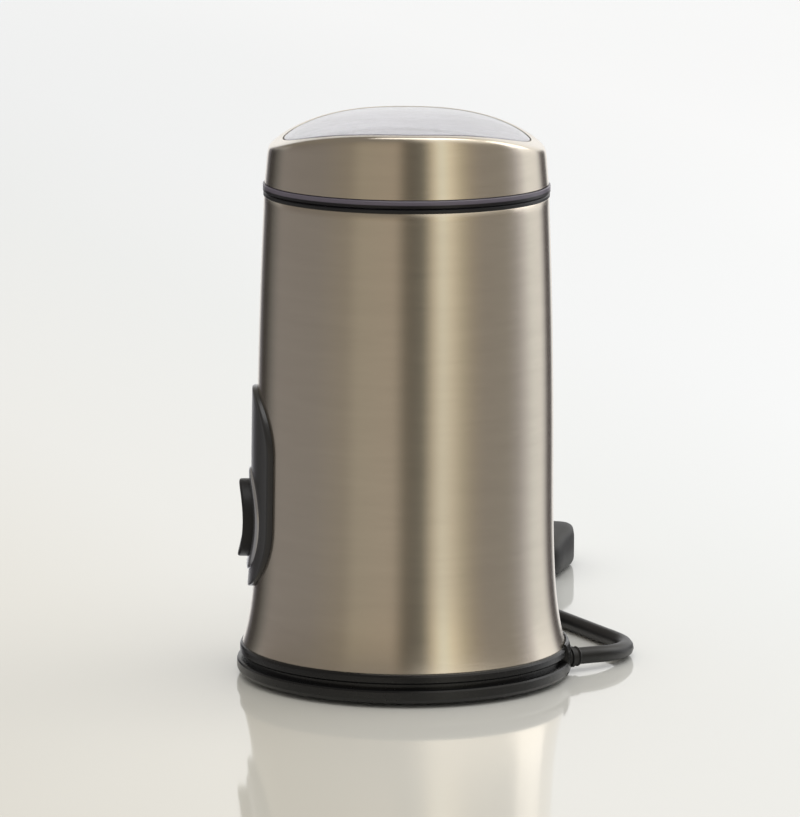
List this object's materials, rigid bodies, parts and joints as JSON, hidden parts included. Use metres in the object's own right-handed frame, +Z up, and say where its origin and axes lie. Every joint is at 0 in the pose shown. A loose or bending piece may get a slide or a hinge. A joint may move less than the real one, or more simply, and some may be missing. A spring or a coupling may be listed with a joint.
{
  "type": "electric spice grinder",
  "caption": "Tall round electric blade grinder with a brushed steel shell, flared foot, black base, lift-off lid with a clear saddle-shaped window, and a push button in a chrome ring.",
  "frame": {"origin": "centre of the round footprint, on the table under the rubber feet", "axes": "+Z up along the grinder's axis; the push button faces -Y; the cord leaves low at +Y; +X is the side that the picture shows"},
  "size_m": [0.242, 0.1199, 0.1673],
  "materials": {
    "champagne_steel": "brushed",
    "base_black": "gloss",
    "frame_plastic": "moulded",
    "collar_black": "satin",
    "bowl_steel": "satin",
    "grey_rubber": "matt",
    "black_rubber": "matt",
    "laminated_iron": "raw",
    "copper_wire": "varnished",
    "bracket_aluminium": "cast",
    "bronze": "sintered",
    "fastener_steel": "zinc plated",
    "brush_board": "paper laminate",
    "contact_brass": "stamped",
    "carbon": "pressed carbon",
    "spring_steel": "drawn",
    "panel_black": "gloss",
    "bezel_chrome": "polished",
    "guide_plastic": "moulded",
    "switch_plastic": "moulded",
    "capacitor_yellow": "moulded",
    "fuse_metal": "plated",
    "wire_blue": "extruded",
    "cord_black": "satin",
    "plug_black": "satin",
    "tie_black": "satin",
    "pin_metal": "nickel plated",
    "clear_smoke": "clear, lightly smoked",
    "button_black": "satin",
    "plunger_red": "moulded",
    "acetal_white": "moulded",
    "shaft_steel": "ground",
    "commutator_copper": "turned",
    "fan_plastic": "moulded",
    "blade_steel": "polished"
  },
  "bodies": {
    "housing": {"body_shell": "champagne_steel", "inner_frame": "frame_plastic", "bowl_cup": "frame_plastic", "top_collar": "collar_black", "collar_screws": "fastener_steel", "grinding_bowl": "bowl_steel", "bowl_gasket": "grey_rubber", "shaft_seal": "black_rubber", "stator_core": "laminated_iron", "field_coils": "copper_wire", "upper_bracket": "bracket_aluminium", "lower_bracket": "bracket_aluminium", "upper_bearing": "bronze", "lower_bearing": "bronze", "motor_screws": "fastener_steel", "motor_nuts": "fastener_steel", "motor_mounts": "black_rubber", "brush_plate": "brush_board", "brush_holders": "contact_brass", "carbon_brushes": "carbon", "brush_springs": "spring_steel", "switch_panel": "panel_black", "button_bezel": "bezel_chrome", "button_guide": "guide_plastic", "guide_screws": "fastener_steel", "main_switch": "switch_plastic", "interlock_switch": "switch_plastic", "suppressor_capacitor": "capacitor_yellow", "thermal_fuse": "fuse_metal", "internal_leads": "wire_blue", "base_ring": "base_black", "base_plate": "base_black", "base_screws": "fastener_steel", "rubber_feet": "black_rubber", "cord_outlet": "base_black", "strain_relief": "cord_black", "cord_lead": "cord_black", "cord_coil": "cord_black", "cord_tail": "cord_black", "cord_tie": "tie_black", "plug_body": "plug_black", "plug_pins": "pin_metal", "button_spring": "spring_steel", "interlock_spring": "spring_steel"},
    "lid": {"lid_cover": "champagne_steel", "lid_liner": "clear_smoke"},
    "push_button": {"button": "button_black", "switch_plunger": "plunger_red"},
    "interlock": {"interlock_pin": "acetal_white"},
    "rotor": {"motor_shaft": "shaft_steel", "armature_core": "laminated_iron", "armature_winding": "copper_wire", "commutator": "commutator_copper", "cooling_fan": "fan_plastic", "thrust_washers": "fan_plastic", "blade_hub": "frame_plastic", "blade": "blade_steel", "blade_nut": "blade_steel"}
  },
  "joints": [
    {"name": "lid_lift", "type": "slide", "parent": "housing", "child": "lid", "axis": [0, 0, 1], "range_m": [0, 0.06]},
    {"name": "button_press", "type": "slide", "parent": "housing", "child": "push_button", "axis": [0, 1, 0], "range_m": [0, 0.0025], "stiffness_N_per_m": 700, "springref_m": -0.0012, "deforming": ["button_spring"]},
    {"name": "interlock_rise", "type": "slide", "parent": "housing", "child": "interlock", "axis": [0, 0, 1], "range_m": [0, 0.0025], "deforming": ["interlock_spring"]},
    {"name": "rotor_spin", "type": "hinge", "parent": "housing", "child": "rotor", "pos_m": [0, 0, 0.06], "axis": [0, 0, 1], "continuous": true}
  ],
  "couplings": [
    {"joint": "interlock_rise", "follows": "lid_lift", "ratio": 0.04}
  ]
}
